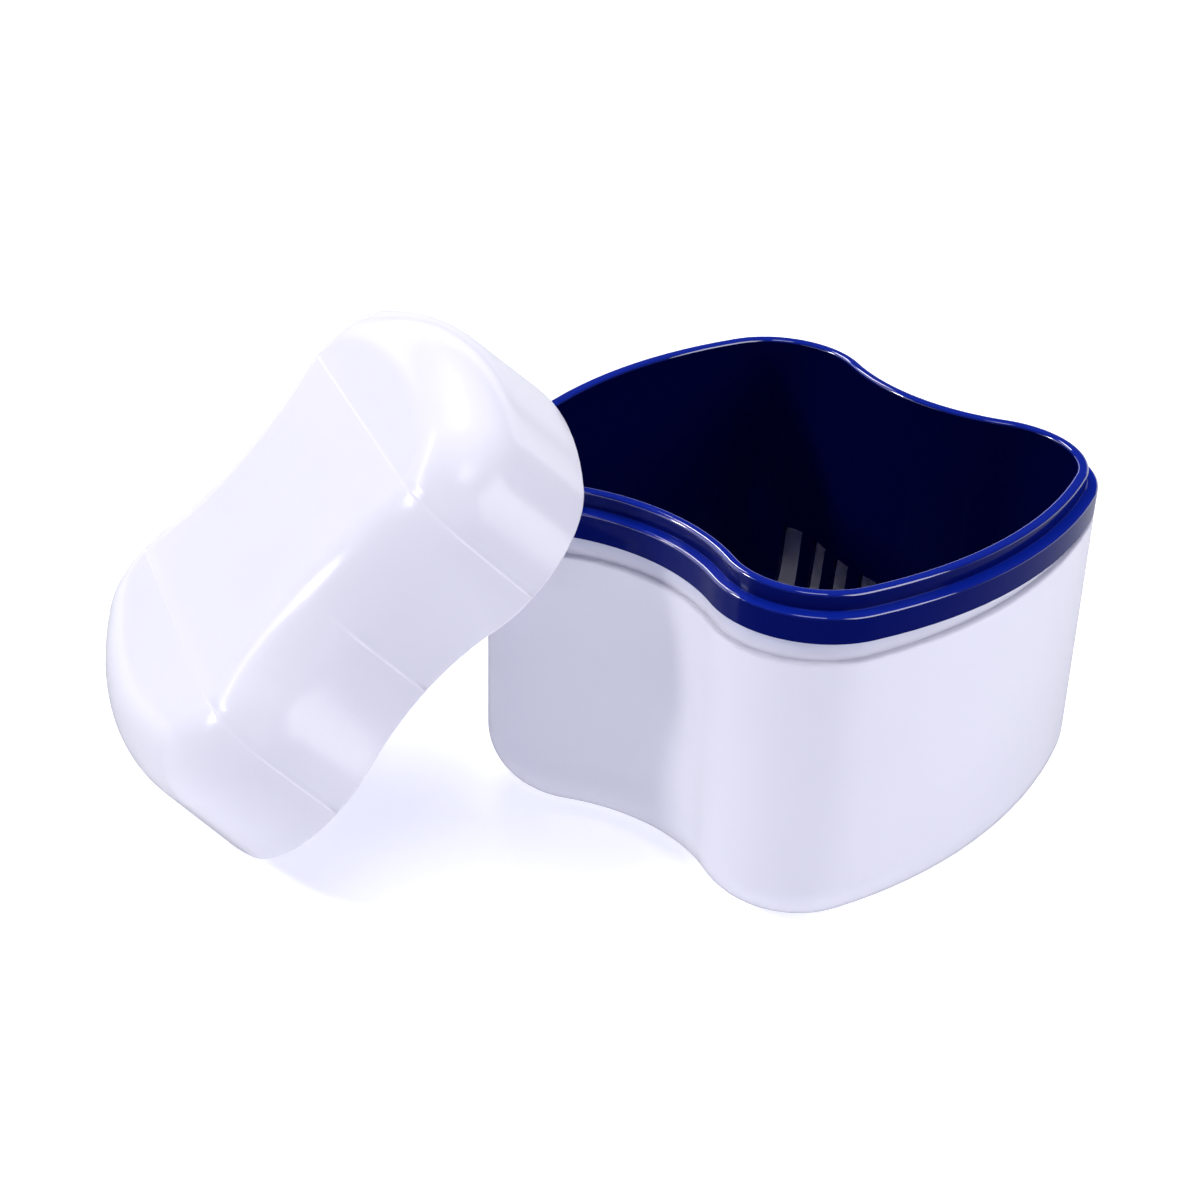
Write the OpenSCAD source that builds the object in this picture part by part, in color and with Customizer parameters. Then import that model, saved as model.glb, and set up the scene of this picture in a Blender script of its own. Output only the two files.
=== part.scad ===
// Denture case: a waisted cup, a strainer basket that hangs in the cup by its flange, and a lid
// that has been taken off and leans on the basket's corner. X runs along the case, Y across it
// and Z up, from the middle of the cup's base.

/* [Outline] */
// Length of the case at the flange, along X
body_l = 90; // [84:0.5:98]
// Radius of the bulging ends
end_r = 89; // [70:1:120]
// Radius of the four corners
corner_r = 17.6; // [16.4:0.2:20]
// Turn from the end's middle to where a corner starts, in degrees
end_turn = 20; // [18:0.5:22]
// Turn of a corner, past which the hollow waist starts, in degrees
corner_turn = 97.6; // [90:0.2:104]

/* [Cup] */
// Height of the cup from its base to its shoulder
cup_h = 52; // [48:0.5:58]
// Radius between the cup's wall and its base
cup_fillet = 9.7; // [7:0.1:11]
// Draft of the cup's wall, in degrees
cup_draft = 0.6; // [0.2:0.1:1.5]
// Thickness of the cup's wall and floor
cup_wall = 2.2; // [1.6:0.1:2.6]
// Rounding of the shoulder's outer edge
shoulder_r = 0.5; // [0.2:0.1:0.7]
// Width of the shoulder, from the wall in to the neck
neck_inset = 1.1; // [1:0.05:1.4]
// Height of the neck above the shoulder
neck_h = 3.7; // [3.4:0.1:4.2]
// Thickness of the neck
neck_t = 1.2; // [0.9:0.1:1.5]

/* [Basket] */
// Height of the flange's outer face
flange_h = 4.7; // [4.5:0.1:6]
// Thickness of the flange over the neck
flange_t = 1.1; // [0.8:0.1:1.4]
// Width of the ledge that the lid sits on
ledge_w = 2; // [1.8:0.1:2.3]
// Height of the lip above the ledge
lip_h = 3; // [2:0.1:4]
// Rounding of the lip's top edges
lip_r = 0.6; // [0.3:0.1:0.8]
// Thickness of the basket's wall and floor
basket_wall = 1.2; // [0.9:0.1:1.5]
// Draft of the basket's wall, in degrees
basket_draft = 3.8; // [3.2:0.1:4.4]
// Radius between the basket's wall and its floor, outside
basket_fillet = 7.5; // [5:0.1:9]
// Height of the basket's floor above the cup's floor, with the basket home
floor_gap = 5; // [4.5:0.5:12]
// Gap between the neck and the basket's flange and wall
fit_gap = 0.38; // [0.36:0.01:0.5]

/* [Strainer slots] */
// Number of slots in each long wall
slot_count = 8; // [4:2:8]
// Width of one slot
slot_w = 4; // [2.5:0.1:4.5]
// Distance from one slot to the next
slot_pitch = 7.1; // [6:0.1:7.6]
// Depth of the slots' top ends below the flange
slot_top = 28.5; // [20:0.5:34]
// Width of the closed strip along the middle of the floor
spine_w = 26; // [14:1:40]

/* [Lid] */
// Height of the lid from its skirt to its flat top
lid_h = 25; // [22:0.5:30]
// Thickness of the lid's wall and top
lid_wall = 2.1; // [1.6:0.1:2.3]
// How far the lid's skirt stands out past the flange
lid_over = 0.6; // [0.3:0.1:0.8]
// Gap between the lid's skirt and the basket's lip
lid_gap = 0.4; // [0.3:0.05:0.6]
// Draft of the lid's wall, in degrees
lid_draft = 3; // [1:0.1:4]
// Radius between the lid's wall and its top
lid_fillet = 12; // [8:0.2:12.6]
// Slope of the top beyond each crease, as rise over run
lobe_rise = 0.08; // [0:0.01:0.1]
// Depth of the creases across the lid
crease_d = 0.2; // [0.1:0.05:0.4]

/* [Pose] */
// Tilt of the basket, whose front edge isn't pressed home, in degrees
basket_tilt = 2.3; // [0.5:0.1:2.6]
// Smallest gap between the flange and the shoulder, at the back
seat_gap = 0.4; // [0.3:0.05:0.8]
// Turn of the leaning lid about Z, in degrees
lid_turn = 65.7; // [62:0.1:70]
// Roll of the leaning lid about its own length, in degrees
lid_roll = -9.3; // [-12:0.1:-7]
// Place of the hook in the lid: how far in from the skirt's high end
hook_in = 3.8; // [3:0.1:5]
// Place of the hook in the lid: how far to the side, towards the case's front
hook_aside = 11.7; // [9:0.1:14]
// Place of the hook over the lip: how far out from the corner's centre along X
hook_out = 5.1; // [4.5:0.1:7]
// Place of the hook over the lip: how far out from the corner's centre along Y
hook_fore = 4.2; // [3.6:0.1:6]
// Height of the hook above the lip
hook_gap = 0.4; // [0.3:0.05:0.6]

/* [Hidden] */
white = [0.93, 0.93, 0.98];
blue = [0.02, 0.08, 0.5];
over = 1;
// How far inside the outline the swept sections start, and the floors between them end
sweep_in = 16;
core_in = 13;
// Turn by which neighbouring swept sections overlap, in degrees, so that no crack is left
seam = 0.000001;
$fn = 96;

// Steps of a rounding in a section, and how finely the lid's skin follows the outline
bend_steps = 6;
skin_fine = 3;
// Bounds of the lid's lean in degrees, and how often they are halved
lean_least = 20;
lean_most = 70;
lean_tries = 16;

// Centres of the outline's arcs: a corner touches the end from inside and the waist from outside
end_c = [body_l / 2 - end_r, 0];
corner_c = end_c + (end_r - corner_r) * [cos(end_turn), sin(end_turn)];
hip_turn = end_turn + corner_turn;
waist_r = -corner_c.x / cos(hip_turn) - corner_r;
waist_c = corner_c + (corner_r + waist_r) * [cos(hip_turn), sin(hip_turn)];
waist_w = 2 * (waist_c.y - waist_r);

function arc(centre, r, from, to, steps, first = 0) = [
    for (i = [0:steps - 1])
        let (a = from + (to - from) * (i + first) / steps) centre + r * [cos(a), sin(a)]
];

// Outline of the case, set out by a distance or, where that is negative, set in
function mirrored(points) = [for (i = [len(points) - 1:-1:0]) [-points[i].x, points[i].y]];
function quarter(out) = concat(
    arc(end_c, end_r + out, 0, end_turn, 2 * skin_fine),
    arc(corner_c, corner_r + out, end_turn, 90, 3 * skin_fine),
    arc(corner_c, corner_r + out, 90, hip_turn, skin_fine),
    arc(waist_c, out - waist_r, hip_turn, 90, 2 * skin_fine)
);
function outline(out) =
    let (q = quarter(out), m = mirrored(q), h = concat(q, [[0, waist_w / 2 + out]], m))
        let (half = [for (i = [0:len(h) - 2]) h[i]]) concat(half, -half);

// Coarse outline whose corners lie between the ends of its arcs
function coarse(out) =
    let (q = concat(
        arc(end_c, end_r + out, 0, end_turn, 2, 0.5),
        arc(corner_c, corner_r + out, end_turn, hip_turn, 3, 0.5),
        arc(waist_c, out - waist_r, hip_turn, 90, 2, 0.5)
    ))
        let (half = concat(q, mirrored(q))) concat(half, -half);

// Move made in three steps of falling size, so that none of them is rounded off on export
function rounded(v, unit) = [for (c = v) round(c / unit) * unit];
module move(v) {
    whole = rounded(v, 1);
    part = rounded(v - whole, 0.0001);
    translate(whole) translate(part) translate(v - whole - part) children();
}

// Section drawn outward along X from the case's outline and upward along Y, swept around the
// outline: once round each arc
module sweep() {
    for (sx = [0, 1], sy = [0, 1])
        mirror([sx, 0, 0]) mirror([0, sy, 0]) move([corner_c.x, corner_c.y, 0])
            rotate_extrude(angle = corner_turn, start = end_turn)
                translate([corner_r, 0]) children();
    for (sx = [0, 1])
        mirror([sx, 0, 0]) move([end_c.x, 0, 0])
            rotate_extrude(angle = 2 * (end_turn + seam), start = -end_turn - seam)
                translate([end_r, 0]) children();
    for (sy = [0, 1])
        mirror([0, sy, 0]) move([0, waist_c.y, 0])
            rotate_extrude(angle = 2 * (hip_turn + seam) - 180, start = -hip_turn - seam)
                move([waist_r, 0]) mirror([1, 0]) children();
}

// Floor between the swept sections, whose edge ends inside them
module core(z, h) {
    translate([0, 0, z]) linear_extrude(h) polygon(coarse(-core_in));
}

// Part of a section, rounded about [out, z] from one turn to another
function bend(out, z, r, from, to) = [
    for (i = [0:bend_steps])
        let (a = from + (to - from) * i / bend_steps) [out + r * cos(a), z + r * sin(a)]
];
// The rounding between a floor at z and a drafted wall that would reach [out, top]
function foot(out, top, z, r, draft) =
    bend(out - tan(draft) * (top - z - r) - r / cos(draft), z + r, r, -90, -draft);
function back(points) = [for (i = [len(points) - 1:-1:0]) points[i]];

// The cup
cup_top = cup_h + neck_h;
cup_in = -neck_inset - neck_t;
neck_bevel = neck_t / 4;
cup_section = concat(
    [[-sweep_in, 0]],
    foot(0, cup_h, 0, cup_fillet, cup_draft),
    bend(-shoulder_r, cup_h - shoulder_r, shoulder_r, 0, 90),
    [[-neck_inset, cup_h]],
    [
        [-neck_inset, cup_top - neck_bevel], [-neck_inset - neck_bevel, cup_top],
        [cup_in + neck_bevel, cup_top], [cup_in, cup_top - neck_bevel]
    ],
    [[cup_in, cup_h]],
    back(foot(cup_in, cup_h, cup_wall, cup_fillet - cup_wall, cup_draft)),
    [[-sweep_in, cup_wall]]
);

module cup() {
    color(white) {
        sweep() polygon(cup_section);
        core(0, cup_wall);
    }
}

// The basket, whose own frame has its origin at the bottom of its flange
lip_top = flange_h + lip_h;
groove_h = flange_h - flange_t;
basket_d = cup_h - cup_wall - floor_gap;
basket_in = cup_in - fit_gap - basket_wall;
skirt_in = fit_gap - neck_inset;
flange_edge = 0.4;
basket_rise = seat_gap + sin(basket_tilt) * (corner_c.y + corner_r);
basket_section = concat(
    [[-sweep_in, -basket_d]],
    foot(basket_in + basket_wall, groove_h, -basket_d, basket_fillet, basket_draft),
    [[basket_in + basket_wall, groove_h], [skirt_in, groove_h], [skirt_in, 0], [0, 0]],
    bend(-flange_edge, flange_h - flange_edge, flange_edge, 0, 90),
    [[-ledge_w, flange_h]],
    bend(-ledge_w - lip_r, lip_top - lip_r, lip_r, 0, 90),
    bend(basket_in + lip_r, lip_top - lip_r, lip_r, 90, 180),
    [[basket_in, groove_h]],
    back(foot(basket_in, groove_h, basket_wall - basket_d, basket_fillet - basket_wall, basket_draft)),
    [[-sweep_in, basket_wall - basket_d]]
);

// One slot in the wall at the front and one at the back, each running on under the floor
module slot_pair(x) {
    for (sy = [0, 1])
        mirror([0, sy, 0])
            translate([x - slot_w / 2, spine_w / 2, -basket_d - over])
                cube([slot_w, body_l / 2, basket_d - slot_top + over]);
}

module place_basket() {
    translate([0, 0, cup_h + basket_rise])
        rotate([-basket_tilt, 0, 0])
            children();
}

module strainer_basket() {
    color(blue)
        place_basket()
            difference() {
                union() {
                    sweep() polygon(basket_section);
                    core(-basket_d, basket_wall);
                }
                for (i = [0:slot_count - 1])
                    slot_pair((i - (slot_count - 1) / 2) * slot_pitch);
            }
}

// Closed skin over a stack of rings, with a cap of strips across its first and last ring
function cap(at, n) = concat(
    [[at, at + 1, at + n - 1]],
    [for (i = [1:n / 2 - 2], t = [[i, i + 1, n - i - 1], [i, n - i - 1, n - i]]) t + [at, at, at]],
    [[at + n / 2 - 1, at + n / 2, at + n / 2 + 1]]
);
function turned(faces) = [for (f = faces) [f[0], f[2], f[1]]];
module skin(rings) {
    n = len(rings[0]);
    last = (len(rings) - 1) * n;
    sides = [
        for (k = [0:n:last - n], i = [0:n - 1])
            let (j = (i + 1) % n)
                each [[k + i, k + n + j, k + j], [k + i, k + n + i, k + n + j]]
    ];
    polyhedron([for (r = rings) each r], concat(cap(0, n), sides, turned(cap(last, n))));
}

// The lid, whose own frame has its origin in the plane of its skirt
lid_skirt_t = lid_over + ledge_w - lid_gap;
lid_side_h = lid_h - lid_fillet;
lid_side = lid_over - tan(lid_draft) * lid_side_h;
function lid_top(x) = lid_h + lobe_rise * max(0, abs(x) - corner_c.x);
function crease(x) = abs(abs(x) - corner_c.x) < crease_d / 2 ? crease_d : 0;

// One ring of the lid's rounding, at a turn from its wall (0) to its top (90)
function lid_ring(out, r, turn) = [
    for (p = outline(out - r * (1 - cos(turn))))
        [
            p.x,
            p.y - sign(p.y) * crease(p.x) * cos(turn),
            lid_top(p.x) - lid_fillet + (r - crease(p.x)) * sin(turn)
        ]
];
function lid_bend(out, r, from, to) = [
    for (i = [0:bend_steps]) lid_ring(out, r, from + (to - from) * i / bend_steps)
];
function skirt_ring(out) = [for (p = outline(out)) [p.x, p.y, 0]];
lid_rings = concat(
    lid_bend(lid_side - lid_wall, lid_fillet - lid_wall, 90, 0),
    [skirt_ring(lid_over - lid_skirt_t), skirt_ring(lid_over)],
    lid_bend(lid_side, lid_fillet, 0, 90)
);

// The lid stands on the low end of its skirt, and the skirt's high end hooks over the lip at the
// basket's corner. Its lean is found by halving, so that the hook clears the lip.
function about_x(p, a) = [p.x, p.y * cos(a) - p.z * sin(a), p.y * sin(a) + p.z * cos(a)];
function about_y(p, a) = [p.x * cos(a) + p.z * sin(a), p.y, p.z * cos(a) - p.x * sin(a)];
function about_z(p, a) = [p.x * cos(a) - p.y * sin(a), p.x * sin(a) + p.y * cos(a), p.z];
function leaned(p, lean) = about_z(about_y(about_x(p, lid_roll), -lean), lid_turn);
function lowest(rings, lean) = min([for (r = rings, p = r) leaned(p, lean).z]);
hook_p = [body_l / 2 - hook_in, -hook_aside, 0];
hook_at = [-corner_c.x - hook_out, -corner_c.y - hook_fore, 0];
hook_z = cup_h + basket_rise + lip_top - sin(basket_tilt) * hook_at.y + hook_gap;
function hook_rise(lean) = leaned(hook_p, lean).z - lowest([skirt_ring(lid_over)], lean);
function lean_to(z, low, high, tries) =
    let (mid = (low + high) / 2)
        tries == 0 ? mid :
        hook_rise(mid) > z ? lean_to(z, low, mid, tries - 1) : lean_to(z, mid, high, tries - 1);
lid_lean = lean_to(hook_z, lean_least, lean_most, lean_tries);
hook_off = leaned(hook_p, lid_lean);
lid_at = [hook_at.x - hook_off.x, hook_at.y - hook_off.y, -lowest(lid_rings, lid_lean)];

module lid() {
    color(white)
        translate(lid_at)
            rotate([lid_roll, -lid_lean, lid_turn])
                skin(lid_rings);
}

cup();
strainer_basket();
lid();
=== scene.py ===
"""Looks of the denture case: smooth moulded shells in place of the CAD solids, materials, light."""

from math import acos, cos, radians, sin, sqrt, tan

import bmesh
import bpy
import numpy as np
from mathutils import Matrix, Vector


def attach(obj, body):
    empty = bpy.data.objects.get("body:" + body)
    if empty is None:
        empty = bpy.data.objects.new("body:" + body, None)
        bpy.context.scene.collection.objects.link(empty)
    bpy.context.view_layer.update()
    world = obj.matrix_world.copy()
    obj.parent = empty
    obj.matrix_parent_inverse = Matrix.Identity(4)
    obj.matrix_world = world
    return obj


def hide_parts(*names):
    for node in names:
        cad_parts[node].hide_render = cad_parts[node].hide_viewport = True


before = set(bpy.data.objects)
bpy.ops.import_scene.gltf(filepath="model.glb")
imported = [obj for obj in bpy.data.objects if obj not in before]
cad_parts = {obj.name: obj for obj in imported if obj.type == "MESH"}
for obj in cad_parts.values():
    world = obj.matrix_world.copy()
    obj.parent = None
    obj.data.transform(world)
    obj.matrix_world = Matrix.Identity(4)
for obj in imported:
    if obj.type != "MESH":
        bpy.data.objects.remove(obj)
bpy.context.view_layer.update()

MM = 0.001

# Sizes in millimetres and degrees, as in the part. The lid's lean and place are those that
# the part works out.
BODY_L, END_R, CORNER_R, END_TURN, CORNER_TURN = 90.0, 89.0, 17.6, 20.0, 97.6
CUP_H, CUP_FILLET, CUP_DRAFT, CUP_WALL = 52.0, 9.7, 0.6, 2.2
SHOULDER_R, NECK_INSET, NECK_H, NECK_T = 0.5, 1.1, 3.7, 1.2
FLANGE_H, FLANGE_T, LEDGE_W, LIP_H = 4.7, 1.1, 2.0, 3.0
BASKET_WALL, BASKET_DRAFT, BASKET_FILLET, FLOOR_GAP, FIT_GAP = 1.2, 3.8, 7.5, 5.0, 0.38
SLOTS, SLOT_W, SLOT_PITCH, SLOT_TOP, SPINE_W = 8, 4.0, 7.1, 28.5, 26.0
LID_H, LID_WALL, LID_OVER, LID_GAP, LID_DRAFT, LID_FILLET = 25.0, 2.1, 0.6, 0.4, 3.0, 12.0
LOBE_RISE = 0.08
BASKET_TILT, SEAT_GAP, LID_TURN, LID_ROLL = 2.3, 0.4, 65.7, -9.3
LID_LEAN, LID_AT = 44.8058, (-50.1981, -49.296, 32.9593)

# Small edge roundings of the scene's own. The part bevels the neck by 0.3, rounds the flange
# by 0.4 and the lip by 0.6, and leaves the others named here sharp.
NECK_EDGE, NECK_FOOT = 0.3, 0.2
HEM_EDGE, FLANGE_EDGE, LEDGE_FOOT, LIP_EDGE, SLOT_EDGE = 0.25, 0.45, 0.3, 0.55, 0.25
SKIRT_EDGE = 0.45

END_X = BODY_L / 2 - END_R
CORNER_X = END_X + (END_R - CORNER_R) * cos(radians(END_TURN))
CORNER_Y = (END_R - CORNER_R) * sin(radians(END_TURN))
HIP = radians(END_TURN + CORNER_TURN)
WAIST_R = -CORNER_X / cos(HIP) - CORNER_R
WAIST_Y = CORNER_Y + (CORNER_R + WAIST_R) * sin(HIP)
BASKET_RISE = SEAT_GAP + sin(radians(BASKET_TILT)) * (CORNER_Y + CORNER_R)


def side_y(x, out):
    """Distance from the middle to the outline, set out by a distance, beside x on a long side."""
    r = CORNER_R + out
    if x >= CORNER_X + r * cos(HIP):
        return CORNER_Y + sqrt(r * r - (x - CORNER_X) ** 2)
    r = WAIST_R - out
    return WAIST_Y - sqrt(r * r - x * x)


def ring(out, xs, corner_steps=14, end_steps=8):
    """Points of the outline, set out by a distance. Those on the long sides lie at xs."""
    turn, r = radians(END_TURN), CORNER_R + out
    start = acos((xs[-1] - CORNER_X) / r)
    q = [
        (END_X + (END_R + out) * cos(turn * i / end_steps), (END_R + out) * sin(turn * i / end_steps))
        for i in range(end_steps)
    ]
    for i in range(corner_steps):
        a = turn + (start - turn) * i / corner_steps
        q.append((CORNER_X + r * cos(a), CORNER_Y + r * sin(a)))
    q += [(x, side_y(x, out)) for x in reversed(xs)]
    q = np.array(q)
    half = np.vstack([q, q[-2:0:-1] * [-1, 1]])
    return np.vstack([half, -half])


def bend(out, z, r, start, end, steps):
    """Part of a section, rounded about (out, z)."""
    angles = [radians(start + (end - start) * i / steps) for i in range(steps + 1)]
    return [(out + r * cos(a), z + r * sin(a)) for a in angles]


def foot(out, top, z, r, draft, steps=10):
    """The rounding between a floor at z and a drafted wall that would reach (out, top)."""
    d = radians(draft)
    return bend(out - tan(d) * (top - z - r) - r / cos(d), z + r, r, -90, -draft, steps)


def wall(a, b, steps):
    """Points between two points of a section, without the points themselves."""
    return [tuple(np.array(a) + (np.array(b) - a) * i / steps) for i in range(1, steps)]


def spread(*stops):
    """Numbers from stop to stop, each stretch in its own count of steps: start, count, stop, ..."""
    out = [stops[0]]
    for i in range(1, len(stops), 2):
        last, count, end = out[-1], stops[i], stops[i + 1]
        out += [last + (end - last) * k / count for k in range(1, count + 1)]
    return out


def rings_of(section, xs):
    """One ring of points for each (out, z) of a section."""
    return [np.c_[ring(o, xs), np.full(len(ring(o, xs)), z)] for o, z in section]


class Shell:
    """Vertices and faces of one piece, in millimetres in the piece's own frame.

    The marks are named lists of rows of vertices that a material can tell apart.
    """

    def __init__(self):
        self.v, self.f, self.marks = [], [], {}

    def row(self, points):
        """Adds vertices and returns their numbers."""
        at = len(self.v)
        self.v += [tuple(p) for p in points]
        return list(range(at, at + len(points)))

    def band(self, a, b, skip=()):
        """Faces between two closed rings, apart from those at the numbers in skip."""
        n = len(a)
        for i in range(n):
            if i not in skip:
                j = (i + 1) % n
                self.f.append((a[i], a[j], b[j], b[i]))

    def cap(self, a, rows=4):
        """Closes a ring with strips that run across from each point to its mirrored point."""
        n = len(a)
        lines = {}
        for i in range(1, n // 2):
            p, q = np.array(self.v[a[i]]), np.array(self.v[a[n - i]])
            inner = [p + (q - p) * k / rows for k in range(1, rows)]
            lines[i] = [a[i]] + self.row(inner) + [a[n - i]]
        for i in range(1, n // 2 - 1):
            for k in range(rows):
                l, m = lines[i], lines[i + 1]
                self.f.append((l[k], m[k], m[k + 1], l[k + 1]))
        for tip, line in ((a[0], lines[1]), (a[n // 2], lines[n // 2 - 1])):
            for k in range(rows):
                self.f.append((tip, line[k], line[k + 1]))

    def build(self, name, place, bevel=0.0, smooth=40):
        """Makes the object in its place. A bevel rounds the edges sharper than the angle smooth."""
        mesh = bpy.data.meshes.new(name)
        verts = [place @ Vector(p) * MM for p in self.v]
        mesh.from_pydata(verts, [], self.f)
        for key, marked in self.marks.items():
            values = mesh.attributes.new(key, "FLOAT", "POINT")
            for i in (i for row in marked for i in row):
                values.data[i].value = 1.0
        bm = bmesh.new()
        bm.from_mesh(mesh)
        bmesh.ops.recalc_face_normals(bm, faces=bm.faces)
        bm.to_mesh(mesh)
        bm.free()
        obj = bpy.data.objects.new(name, mesh)
        bpy.context.scene.collection.objects.link(obj)
        if bevel:
            mod = obj.modifiers.new("edges", "BEVEL")
            mod.width, mod.segments, mod.limit_method = bevel * MM, 3, "ANGLE"
            mod.angle_limit = radians(smooth)
        mod = obj.modifiers.new("normals", "WEIGHTED_NORMAL")
        mod.keep_sharp = True
        mesh.shade_smooth()
        applied(obj)
        return obj


def applied(obj):
    """Turns an object's modifiers into its mesh."""
    graph = bpy.context.evaluated_depsgraph_get()
    mesh = bpy.data.meshes.new_from_object(obj.evaluated_get(graph), depsgraph=graph)
    obj.modifiers.clear()
    obj.data = mesh


# The cup. Points of the rings lie at PLAIN_XS on the long sides.
CUP_IN = -NECK_INSET - NECK_T
PLAIN_XS = spread(0, 12, 12, 14, 26)


def cup_shell():
    top = CUP_H + NECK_H
    outer = foot(0, CUP_H, 0, CUP_FILLET, CUP_DRAFT, 14)
    inner = foot(CUP_IN, CUP_H, CUP_WALL, CUP_FILLET - CUP_WALL, CUP_DRAFT, 10)
    shoulder = bend(-SHOULDER_R, CUP_H - SHOULDER_R, SHOULDER_R, 0, 90, 6)
    outside = (
        outer
        + wall(outer[-1], shoulder[0], 8)
        + shoulder
        + bend(-NECK_INSET + NECK_FOOT, CUP_H + NECK_FOOT, NECK_FOOT, -90, -180, 3)
    )
    neck = bend(-NECK_INSET - NECK_EDGE, top - NECK_EDGE, NECK_EDGE, 0, 90, 4) + bend(
        CUP_IN + NECK_EDGE, top - NECK_EDGE, NECK_EDGE, 90, 180, 4
    )
    inside = [(CUP_IN, CUP_H)] + wall((CUP_IN, CUP_H), inner[-1], 6) + inner[::-1]
    s = Shell()
    rows = [s.row(r) for r in rings_of(outside + neck + inside, PLAIN_XS)]
    # The neck's rows, where the white is painted greyer as painted shade for the flange's shadow.
    s.marks["painted_neck_shade"] = rows[len(outside) : len(outside) + len(neck)]
    for a, b in zip(rows, rows[1:]):
        s.band(a, b)
    s.cap(rows[0])
    s.cap(rows[-1])
    return s


# The basket, in its own frame with the flange's bottom at z = 0
LIP_TOP, GROOVE_H = FLANGE_H + LIP_H, FLANGE_H - FLANGE_T
BASKET_D = CUP_H - CUP_WALL - FLOOR_GAP
BASKET_IN = CUP_IN - FIT_GAP - BASKET_WALL
SKIRT_IN = FIT_GAP - NECK_INSET
COLUMN_W = 1.4


def basket_shell():
    edges = sorted(
        (i + 0.5) * SLOT_PITCH + side * SLOT_W / 2 for i in range(SLOTS // 2) for side in (-1, 1)
    )
    xs = [0.0]
    for a, b in zip([0.0] + edges, edges):
        n = max(1, round((b - a) / COLUMN_W))
        xs += [a + (b - a) * k / n for k in range(1, n + 1)]
    in_slot = [
        any(lo - 1e-6 <= min(a, b) and max(a, b) <= hi + 1e-6 for lo, hi in zip(edges[::2], edges[1::2]))
        for a, b in zip(xs, xs[1:])
    ]
    d = tan(radians(BASKET_DRAFT))
    out_foot = foot(BASKET_IN + BASKET_WALL, GROOVE_H, -BASKET_D, BASKET_FILLET, BASKET_DRAFT, 12)
    in_foot = foot(
        BASKET_IN, GROOVE_H, BASKET_WALL - BASKET_D, BASKET_FILLET - BASKET_WALL, BASKET_DRAFT, 12
    )
    slot_out = (BASKET_IN + BASKET_WALL - d * (GROOVE_H + SLOT_TOP), -SLOT_TOP)
    slot_in = (BASKET_IN - d * (GROOVE_H + SLOT_TOP), -SLOT_TOP)
    outer = out_foot + wall(out_foot[-1], slot_out, 3) + [slot_out]
    inner = in_foot + wall(in_foot[-1], slot_in, 3) + [slot_in]
    under = (
        wall(slot_out, (BASKET_IN + BASKET_WALL, GROOVE_H), 8)
        + [(BASKET_IN + BASKET_WALL, GROOVE_H), (SKIRT_IN, GROOVE_H), (SKIRT_IN, 0.0)]
        + bend(-HEM_EDGE, HEM_EDGE, HEM_EDGE, -90, 0, 4)
    )
    flange = bend(-FLANGE_EDGE, FLANGE_H - FLANGE_EDGE, FLANGE_EDGE, 0, 90, 6)
    ledge = bend(-LEDGE_W + LEDGE_FOOT, FLANGE_H + LEDGE_FOOT, LEDGE_FOOT, -90, -180, 4)
    lip = bend(-LEDGE_W - LIP_EDGE, LIP_TOP - LIP_EDGE, LIP_EDGE, 0, 90, 6) + bend(
        BASKET_IN + LIP_EDGE, LIP_TOP - LIP_EDGE, LIP_EDGE, 90, 180, 6
    )
    inside = [(BASKET_IN, GROOVE_H)] + wall((BASKET_IN, GROOVE_H), slot_in, 8)
    middle = under + flange + ledge + lip + inside
    s = Shell()
    outer_rows = [s.row(r) for r in rings_of(outer, xs)]
    mid_rows = [s.row(r) for r in rings_of(middle, xs)]
    inner_rows = [s.row(r) for r in rings_of(inner, xs)]
    # The rows inside the basket: the material paints them darker, as painted shade, and gives them less
    # gloss.
    s.marks["inside"] = inner_rows + mid_rows[-len(inside) - 1 :]
    rounded = [(len(under), len(flange)), (len(under + flange + ledge), len(lip))]
    s.marks["edge"] = [row for at, count in rounded for row in mid_rows[at + 1 : at + count - 1]]
    n = len(outer_rows[0])
    half, quarter = n // 2, n // 4
    columns = {}
    for i in range(n):
        k = i % half
        k = k if k <= quarter else half - k
        j = quarter - k
        if j < len(xs):
            columns[i] = (xs[j], j)
    slotted = set()
    for i in range(n):
        j = (i + 1) % n
        if i in columns and j in columns and in_slot[min(columns[i][1], columns[j][1])]:
            slotted.add(i)
    cut = []
    for rows in (outer_rows, inner_rows):
        holes = []
        for a, b in zip(rows, rows[1:]):
            s.band(a, b, slotted)
            holes += [(a[i], a[(i + 1) % n], b[(i + 1) % n], b[i]) for i in slotted]
        holes += floor_of(s, rows[0], columns, slotted, n)
        cut.append(holes)
    chain = [outer_rows[-1]] + mid_rows + [inner_rows[-1]]
    for a, b in zip(chain, chain[1:]):
        s.band(a, b)
    pair = dict(zip([v for f in cut[0] for v in f], [v for f in cut[1] for v in f]))
    count = {}
    for face in cut[0]:
        for k in range(4):
            e = (face[k], face[(k + 1) % 4])
            count[frozenset(e)] = count.get(frozenset(e), []) + [e]
    for found in count.values():
        if len(found) == 1:
            a, b = found[0]
            s.f.append((a, b, pair[b], pair[a]))
    return s


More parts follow.
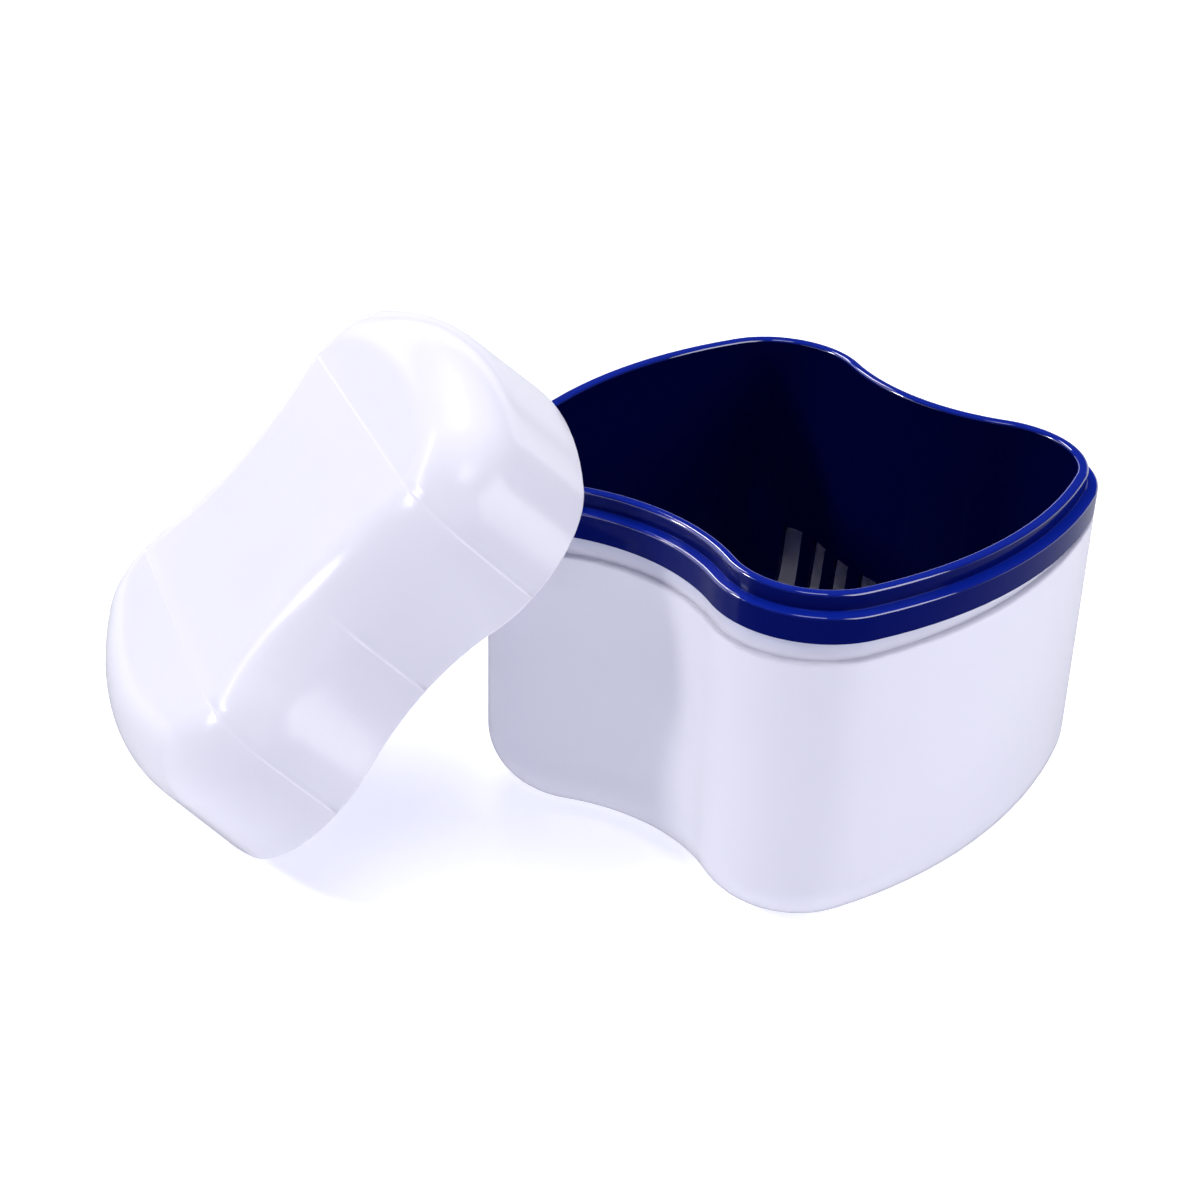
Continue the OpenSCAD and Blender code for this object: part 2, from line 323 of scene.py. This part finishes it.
def floor_of(s, a, columns, slotted, n):
    """Floor inside a ring: strips along Y between its columns, and the two ends. Returns holes."""
    z = s.v[a[0]][2]
    ys = (-SPINE_W / 2, SPINE_W / 2)
    lines, holes = {}, []
    for i in columns:
        if s.v[a[i]][1] > 0:
            x = s.v[a[i]][0]
            lo, hi = s.row([(x, ys[0], z), (x, ys[1], z)])
            lines[i] = (a[n - i], lo, hi, a[i])
    keys = sorted(lines)
    for i, j in zip(keys, keys[1:]):
        l, m = lines[i], lines[j]
        s.f.append((l[1], m[1], m[2], l[2]))
        for p, q in ((0, 1), (3, 2)):
            quad = (l[p], m[p], m[q], l[q])
            if i in slotted:
                holes.append(quad)
            else:
                s.f.append(quad)
    first, last = keys[0], keys[-1]
    s.f.append(tuple(a[i % n] for i in range(-first, first + 1)) + (lines[first][2], lines[first][1]))
    s.f.append(tuple(a[i] for i in range(last, n - last + 1)) + (lines[last][1], lines[last][2]))
    return holes


# The lid, in its own frame with the skirt's edge at z = 0
SKIRT_T = LID_OVER + LEDGE_W - LID_GAP
LID_SIDE_H = LID_H - LID_FILLET
LID_SIDE = LID_OVER - tan(radians(LID_DRAFT)) * LID_SIDE_H
# The creases' and valleys' width and depth, how much wider their far side is,
# how much shallower a crease is on top, and the angle at which a valley ends.
# The part's creases are V's of the same depth, about 5 mm wide, and it has no valleys.
CREASE_W, CREASE_D = 0.4, 0.2
VALLEY_W, VALLEY_D = 0.45, 0.22
SKEW, TOP_CUT, VALLEY_END = 3.5, 0.65, 40


def dip(t, width, skew=1.0):
    """A soft V, 1 deep at its middle. Past the middle it is wider by the skew."""
    t = abs(t) / (width * (skew if t > 0 else 1))
    return 0.0 if t >= 1 else (1 - t) ** 1.5 * (1 + 0.5 * t)


def creases(x):
    """Depth of the two creases at x."""
    return CREASE_D * (dip(x - CORNER_X, CREASE_W, SKEW) + dip(x + CORNER_X, CREASE_W, SKEW))


def rise(x, soft=0.7):
    """How far the lid's top rises at x, past its crease. The turn there is soft."""
    t = abs(x) - CORNER_X
    return LOBE_RISE * (0 if t < -soft else t if t > soft else (t + soft) ** 2 / (4 * soft))


def lid_ring(out, r, turn, xs, depth=1.0):
    """Ring on the lid's top rounding, at a turn from 0, the side, to 90, the top."""
    a = radians(turn)
    points = []
    for x, y in ring(out - r * (1 - cos(a)), xs):
        cut = depth * creases(x) * (1 - TOP_CUT * sin(a))
        side = 1 if y > 0 else -1
        z = LID_H + rise(x) - LID_FILLET + r * sin(a) - cut * sin(a)
        valley = depth * VALLEY_D * dip(x, VALLEY_W, SKEW) * max(0.0, 1 - turn / VALLEY_END)
        points.append((x, y - side * (cut + valley) * cos(a), z))
    return points


def lid_wall_rings(out_low, out_high, z_low, steps, xs, depth):
    """Rings up the side, from the skirt to the rounding's start."""
    top = lid_ring(out_high, 0, 0, xs, 0)
    rows = []
    for k in range(steps + 1):
        f = k / steps
        flat = ring(out_low + (out_high - out_low) * f, xs)
        points = []
        for (x, y), (_, _, zt) in zip(flat, top):
            cut = depth * (creases(x) + VALLEY_D * dip(x, VALLEY_W, SKEW))
            points.append((x, y - (cut if y > 0 else -cut), z_low + (zt - z_low) * f))
        rows.append(points)
    return rows


def lid_shell():
    c = CORNER_X
    w = CREASE_W * SKEW
    valley = (0, 5, VALLEY_W, 4, VALLEY_W * SKEW)
    crease = (c - w - 0.3, 1, c - w, 4, c - CREASE_W, 10, c + CREASE_W, 4, c + w, 1, c + 2.6)
    xs = spread(*valley, 12, *crease)
    r_in = LID_FILLET - LID_WALL
    edge = SKIRT_EDGE
    rows = [lid_ring(LID_SIDE - LID_WALL, r_in, t, xs, 0.6) for t in spread(90, 12, 0)]
    rows += lid_wall_rings(LID_OVER - SKIRT_T, LID_SIDE - LID_WALL, edge, 5, xs, 0.0)[::-1][1:]
    for o, z in bend(LID_OVER - SKIRT_T + edge, edge, edge, 180, 270, 5)[1:]:
        rows.append([(x, y, z) for x, y in ring(o, xs)])
    for o, z in bend(LID_OVER - edge, edge, edge, -90, 0, 5)[:-1]:
        rows.append([(x, y, z) for x, y in ring(o, xs)])
    rows += lid_wall_rings(LID_OVER, LID_SIDE, edge, 7, xs, 1.0)[:-1]
    rows += [lid_ring(LID_SIDE, LID_FILLET, t, xs) for t in spread(0, 18, 90)]
    s = Shell()
    rows = [s.row(r) for r in rows]
    for a, b in zip(rows, rows[1:]):
        s.band(a, b)
    s.cap(rows[0])
    s.cap(rows[-1])
    return s


def turned(*turns):
    """Rotation by (axis, degrees), one after the other."""
    out = Matrix.Identity(4)
    for axis, angle in turns:
        out = out @ Matrix.Rotation(radians(angle), 4, axis)
    return out


at_rest = Matrix.Identity(4)
basket_place = Matrix.Translation((0, 0, CUP_H + BASKET_RISE)) @ turned(("X", -BASKET_TILT))
lid_place = Matrix.Translation(LID_AT) @ turned(("Z", LID_TURN), ("Y", -LID_LEAN), ("X", LID_ROLL))

cup = cup_shell().build("cup_shell", at_rest)
basket = basket_shell().build("basket_shell", basket_place, bevel=SLOT_EDGE, smooth=50)
lid = lid_shell().build("lid_shell", lid_place)

for piece, node, body in (
    (cup, "cup", "cup"),
    (basket, "strainer_basket", "strainer_basket"),
    (lid, "lid", "lid"),
):
    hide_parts(node)
    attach(piece, body)


# Materials
# The grey for the cup's neck is painted shade, for the flange's shadow on it.
WHITE, WHITE_CLOUD, PAINTED_NECK_SHADE = (0.86, 0.86, 0.93), (0.83, 0.83, 0.905), (0.63, 0.66, 0.79)
BLUE, BLUE_CLOUD = (0.0022, 0.0062, 0.115), (0.0018, 0.005, 0.095)
# The lighter blue where the basket faces up is painted light, and the darker blue inside it is painted
# shade.
PAINTED_TOP_LIGHT_BLUE, PAINTED_INSIDE_SHADE_BLUE = (0.004, 0.018, 0.3), (0.0008, 0.002, 0.05)
OUTSIDE_GLOSS, INSIDE_GLOSS = 0.2, 0.15


def nodes_of(name):
    """A new material, its node tree and its shader."""
    mat = bpy.data.materials.new(name)
    mat.use_nodes = True
    tree = mat.node_tree
    return mat, tree, tree.nodes["Principled BSDF"]


def noise(tree, coords, scale, detail):
    node = tree.nodes.new("ShaderNodeTexNoise")
    node.inputs["Scale"].default_value = scale
    node.inputs["Detail"].default_value = detail
    tree.links.new(coords.outputs["Object"], node.inputs["Vector"])
    return node


def ramp(tree, source, low, high, a, b):
    """Numbers from a to b while the source goes from low to high."""
    node = tree.nodes.new("ShaderNodeMapRange")
    for key, value in (("From Min", low), ("From Max", high), ("To Min", a), ("To Max", b)):
        node.inputs[key].default_value = value
    tree.links.new(source, node.inputs["Value"])
    return node


def marked(tree, name):
    """Which points of the piece carry a mark, from 0 to 1."""
    node = tree.nodes.new("ShaderNodeAttribute")
    node.attribute_name = name
    return node.outputs["Fac"]


def moulded(name, rough, wave):
    """Glossy moulded plastic: uneven gloss and the slow waves of a moulded face."""
    mat, tree, shader = nodes_of(name)
    coords = tree.nodes.new("ShaderNodeTexCoord")
    grain = noise(tree, coords, 700, 2)
    gloss = ramp(tree, grain.outputs["Fac"], 0.3, 0.7, rough * 0.9, rough * 1.1)
    tree.links.new(gloss.outputs["Result"], shader.inputs["Roughness"])
    slow = noise(tree, coords, 38, 1)
    bump = tree.nodes.new("ShaderNodeBump")
    bump.inputs["Strength"].default_value = wave
    bump.inputs["Distance"].default_value = 0.0006
    tree.links.new(slow.outputs["Fac"], bump.inputs["Height"])
    tree.links.new(bump.outputs["Normal"], shader.inputs["Normal"])
    shader.inputs["IOR"].default_value = 1.49
    return mat, tree, shader, coords


def blend(tree, factor, a, b):
    """Colour from a to b by a factor. Each of them is a colour or another node's output."""
    mix = tree.nodes.new("ShaderNodeMix")
    mix.data_type = "RGBA"
    tree.links.new(factor, mix.inputs["Factor"])
    for socket, colour in (("A", a), ("B", b)):
        if isinstance(colour, tuple):
            mix.inputs[socket].default_value = (*colour, 1)
        else:
            tree.links.new(colour, mix.inputs[socket])
    return mix.outputs["Result"]


def white_plastic():
    """White with faint clouds. The cup's neck is painted greyer: painted shade for the flange's shadow
    on it.
    """
    mat, tree, shader, coords = moulded("white_plastic", 0.17, 0.1)
    cloud = noise(tree, coords, 45, 4)
    colour = blend(tree, cloud.outputs["Fac"], WHITE, WHITE_CLOUD)
    # Painted shade: the neck's rows are greyed for the flange's shadow.
    colour = blend(tree, marked(tree, "painted_neck_shade"), colour, PAINTED_NECK_SHADE)
    tree.links.new(colour, shader.inputs["Base Color"])
    return mat


def blue_plastic():
    """Deep blue, painted lighter where it faces up as painted light, and darker inside as painted shade.
    A strong coat lights its edges.
    """
    mat, tree, shader, coords = moulded("blue_plastic", 0.09, 0.05)
    shader.inputs["Coat Roughness"].default_value = 0.03
    shader.inputs["Coat IOR"].default_value = 2.4
    tree.links.new(marked(tree, "edge"), shader.inputs["Coat Weight"])
    shader.inputs["Specular Tint"].default_value = (0.5, 0.6, 1, 1)
    cloud = noise(tree, coords, 60, 3)
    deep = blend(tree, cloud.outputs["Fac"], BLUE, BLUE_CLOUD)
    facing = tree.nodes.new("ShaderNodeSeparateXYZ")
    tree.links.new(coords.outputs["Normal"], facing.inputs["Vector"])
    # Painted light: the basket is bluer and lighter where it faces up.
    up = ramp(tree, facing.outputs["Z"], 0.05, 0.8, 0.0, 1.0)
    painted_top_light = blend(tree, up.outputs["Result"], deep, PAINTED_TOP_LIGHT_BLUE)
    # Painted shade: the rows inside the basket are painted darker.
    inside = marked(tree, "inside")
    colour = blend(tree, inside, painted_top_light, PAINTED_INSIDE_SHADE_BLUE)
    tree.links.new(colour, shader.inputs["Base Color"])
    gloss = ramp(tree, inside, 0.0, 1.0, OUTSIDE_GLOSS, INSIDE_GLOSS)
    tree.links.new(gloss.outputs["Result"], shader.inputs["Specular IOR Level"])
    return mat


white, blue = white_plastic(), blue_plastic()
cup.data.materials.append(white)
lid.data.materials.append(white)
basket.data.materials.append(blue)

# Stage
GLOW, PAPER = 0.5, (0.87, 0.88, 0.97)
CARD_GLOW, CARD_COLOUR, CARD_FADE = 0.85, (0.9, 0.92, 1), (-2.86, -2.6)


def hide_from(obj, *kinds):
    for kind in kinds:
        setattr(obj, "visible_" + kind, False)


def glowing(name, colour, strength):
    """A black paper that only glows."""
    mat, tree, shader = nodes_of(name)
    shader.inputs["Base Color"].default_value = (0, 0, 0, 1)
    shader.inputs["Specular IOR Level"].default_value = 0.0
    shader.inputs["Emission Color"].default_value = (*colour, 1)
    shader.inputs["Emission Strength"].default_value = strength
    return mat, tree, shader


# The floor, a sheet that glows a little, as on a light table
bpy.ops.mesh.primitive_plane_add(size=8, location=(0, 0, 0))
floor = bpy.context.object
floor.name = "floor"
mat, tree, shader = nodes_of("floor_paper")
coords = tree.nodes.new("ShaderNodeTexCoord")
paper = noise(tree, coords, 400, 4)
tone = ramp(tree, paper.outputs["Fac"], 0.3, 0.7, 0.91, 0.93)
tree.links.new(tone.outputs["Result"], shader.inputs["Base Color"])
shader.inputs["Roughness"].default_value = 0.9
shader.inputs["Specular IOR Level"].default_value = 0.1
shader.inputs["Emission Color"].default_value = (*PAPER, 1)
shader.inputs["Emission Strength"].default_value = GLOW
floor.data.materials.append(mat)
hide_from(floor, "glossy")

# A pale card under the far half of the floor. Only gloss sees it: it keeps the far edges light.
bpy.ops.mesh.primitive_plane_add(size=6, location=(-1.8, 2.07, -0.002), rotation=(0, 0, radians(40.8)))
card = bpy.context.object
card.name = "card"
mat, tree, shader = glowing("card_paper", CARD_COLOUR, CARD_GLOW)
coords = tree.nodes.new("ShaderNodeTexCoord")
place = tree.nodes.new("ShaderNodeSeparateXYZ")
tree.links.new(coords.outputs["Object"], place.inputs["Vector"])
fade = ramp(tree, place.outputs["Y"], *CARD_FADE, 0.0, CARD_GLOW)
tree.links.new(fade.outputs["Result"], shader.inputs["Emission Strength"])
card.data.materials.append(mat)
hide_from(card, "camera", "diffuse", "shadow", "transmission")

# A pale dome over the floor, as a backdrop that only the camera sees
bpy.ops.mesh.primitive_uv_sphere_add(segments=48, ring_count=24, radius=3.9, location=(0, 0, 0))
backdrop = bpy.context.object
backdrop.name = "backdrop"
backdrop.data.materials.append(glowing("backdrop_paper", PAPER, GLOW)[0])
hide_from(backdrop, "diffuse", "glossy", "shadow", "transmission")

# Light. The lights are hidden from gloss, and the gleams from diffuse light.
MIDDLE = Vector((-0.02, -0.02, 0.04))
NEUTRAL, COOL = (1, 0.98, 0.97), (0.86, 0.89, 1)
LIGHTS = (
    # name, azimuth, elevation, distance, width, height, power, colour
    ("key", -126, 34, 1.0, 0.14, 0.1, 3.4, NEUTRAL),
    ("rear", 150, 40, 1.0, 0.4, 0.4, 5.0, NEUTRAL),
    ("back_right", 45, 40, 1.0, 0.5, 0.5, 0.6, COOL),
    ("top", 0, 88, 1.0, 0.9, 0.9, 7.4, NEUTRAL),
    ("right", 22, 22, 1.0, 0.45, 0.5, 2.7, NEUTRAL),
)
GLEAMS = (
    # name, azimuth, elevation, distance, width, height, power, colour
    ("window", 10, 26, 1.0, 0.8, 0.65, 3.8, NEUTRAL),
    ("spot", -138, 30, 1.0, 0.16, 0.06, 1.6, NEUTRAL),
    ("strip", -155, 32, 1.0, 1.0, 0.1, 1.0, NEUTRAL),
    ("hot", 147, 43, 1.0, 0.12, 0.2, 1.2, NEUTRAL),
    ("ceiling", -45, 72, 1.0, 0.35, 0.35, 0.8, NEUTRAL),
    ("low", 128, 10, 1.4, 2.4, 0.3, 2.0, NEUTRAL),
)
WORLD_COLOUR, WORLD = (0.15, 0.2, 1.0), 0.12


def softbox(name, az, el, far, width, height, power, colour):
    """Area light that faces the case's middle from an azimuth and an elevation."""
    data = bpy.data.lights.new(name, "AREA")
    data.shape, data.size, data.size_y = "RECTANGLE", width, height
    data.energy, data.color = power, colour
    turn, lift = radians(az), radians(el)
    way = Vector((cos(lift) * cos(turn), cos(lift) * sin(turn), sin(lift)))
    obj = bpy.data.objects.new(name, data)
    obj.location = MIDDLE + way * far
    obj.rotation_euler = (-way).to_track_quat("-Z", "Y").to_euler()
    bpy.context.scene.collection.objects.link(obj)
    return obj


world = bpy.data.worlds.new("studio")
bpy.context.scene.world = world
world.use_nodes = True
sky = world.node_tree.nodes["Background"]
sky.inputs["Color"].default_value = (*WORLD_COLOUR, 1)
sky.inputs["Strength"].default_value = WORLD
for spec in LIGHTS:
    softbox(*spec).visible_glossy = False
for spec in GLEAMS:
    softbox(*spec).visible_diffuse = False

# Camera, in the place and with the lens that fit the photograph
right = Vector((0.74467862, 0.66670318, 0.03099398))
up = Vector((-0.35745481, 0.35918398, 0.86209798))
back = Vector((0.56363093, -0.65306488, 0.50579289))
camera_data = bpy.data.cameras.new("camera")
camera_data.sensor_width = 36
camera_data.sensor_fit = "HORIZONTAL"
camera_data.lens = 81.474
camera_data.clip_start, camera_data.clip_end = 0.01, 20
camera = bpy.data.objects.new("camera", camera_data)
bpy.context.scene.collection.objects.link(camera)
camera.matrix_world = Matrix.Translation((0.238966, -0.325528, 0.268177)) @ Matrix(
    (right, up, back)
).transposed().to_4x4()
bpy.context.scene.camera = camera
bpy.context.scene.view_settings.view_transform = "Standard"
